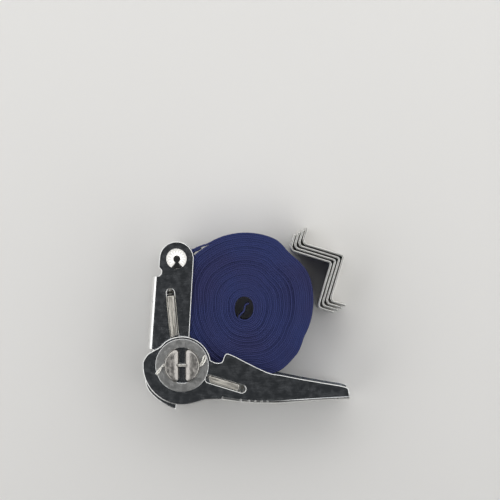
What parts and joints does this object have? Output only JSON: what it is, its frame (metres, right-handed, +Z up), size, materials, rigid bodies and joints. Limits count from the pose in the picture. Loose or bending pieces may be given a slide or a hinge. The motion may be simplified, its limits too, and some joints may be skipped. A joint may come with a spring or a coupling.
{
  "type": "ratchet band clamp",
  "caption": "Ratchet band clamp: channel frame, lever handle, slotted drum with toothed wheels and pawls, rolled webbing band and nested corner brackets.",
  "frame": {"origin": "middle of the overall box at its underside, where the clamp lies on the lower end of its drum", "axes": "+Z up along the drum's axis, +X along the handle away from the drum, +Y towards the frame's rivet"},
  "size_m": [0.1178, 0.104, 0.046],
  "materials": {
    "plated_steel": "bright plated sheet steel, smooth, with bright worn edges",
    "bright_steel": "polished bright steel",
    "washer_steel": "satin plated washer",
    "bracket_steel": "bright zinc plate",
    "spring_steel": "drawn spring wire",
    "webbing": "close woven dark blue webbing, matt"
  },
  "bodies": {
    "frame_body": {"frame": "plated_steel", "anchor_rivet": "bright_steel", "frame_pawl_spring": "spring_steel", "band_coil": "webbing", "band_end_loop": "webbing"},
    "handle_body": {"handle": "plated_steel", "handle_pawl_spring": "spring_steel"},
    "drum_body": {"mandrel_half_left": "bright_steel", "mandrel_half_right": "bright_steel", "ratchet_wheel_upper": "plated_steel", "ratchet_wheel_lower": "plated_steel", "washer_upper": "washer_steel", "washer_lower": "washer_steel", "cotter_pin_upper": "bright_steel", "cotter_pin_lower": "bright_steel"},
    "frame_pawl_body": {"frame_pawl": "bright_steel"},
    "handle_pawl_body": {"handle_pawl": "bright_steel"},
    "bracket_1_body": {"corner_bracket_1": "bracket_steel"},
    "bracket_2_body": {"corner_bracket_2": "bracket_steel"},
    "bracket_3_body": {"corner_bracket_3": "bracket_steel"},
    "bracket_4_body": {"corner_bracket_4": "bracket_steel"}
  },
  "joints": [
    {"name": "drum_spin", "type": "hinge", "parent": "frame_body", "child": "drum_body", "pos_m": [-0.03645, -0.02668, 0.023], "axis": [0, 0, 1], "continuous": true},
    {"name": "handle_swing", "type": "hinge", "parent": "frame_body", "child": "handle_body", "pos_m": [-0.03645, -0.02668, 0.023], "axis": [0, 0, 1], "range_deg": [-60, 0]},
    {"name": "frame_pawl_slide", "type": "slide", "parent": "frame_body", "child": "frame_pawl_body", "axis": [-0.0952, 0.9955, 0], "range_m": [0, 0.0029], "stiffness_N_per_m": 500, "springref_m": -0.004, "deforming": ["frame_pawl_spring"]},
    {"name": "handle_pawl_slide", "type": "slide", "parent": "handle_body", "child": "handle_pawl_body", "axis": [0.9563, -0.2924, 0], "range_m": [0, 0.0029], "stiffness_N_per_m": 500, "springref_m": -0.004, "deforming": ["handle_pawl_spring"]},
    {"name": "bracket_1_lift", "type": "slide", "parent": "frame_body", "child": "bracket_1_body", "axis": [0, 0, 1], "range_m": [0, 0.05]},
    {"name": "bracket_2_lift", "type": "slide", "parent": "frame_body", "child": "bracket_2_body", "axis": [0, 0, 1], "range_m": [0, 0.05]},
    {"name": "bracket_3_lift", "type": "slide", "parent": "frame_body", "child": "bracket_3_body", "axis": [0, 0, 1], "range_m": [0, 0.05]},
    {"name": "bracket_4_lift", "type": "slide", "parent": "frame_body", "child": "bracket_4_body", "axis": [0, 0, 1], "range_m": [0, 0.05]}
  ]
}
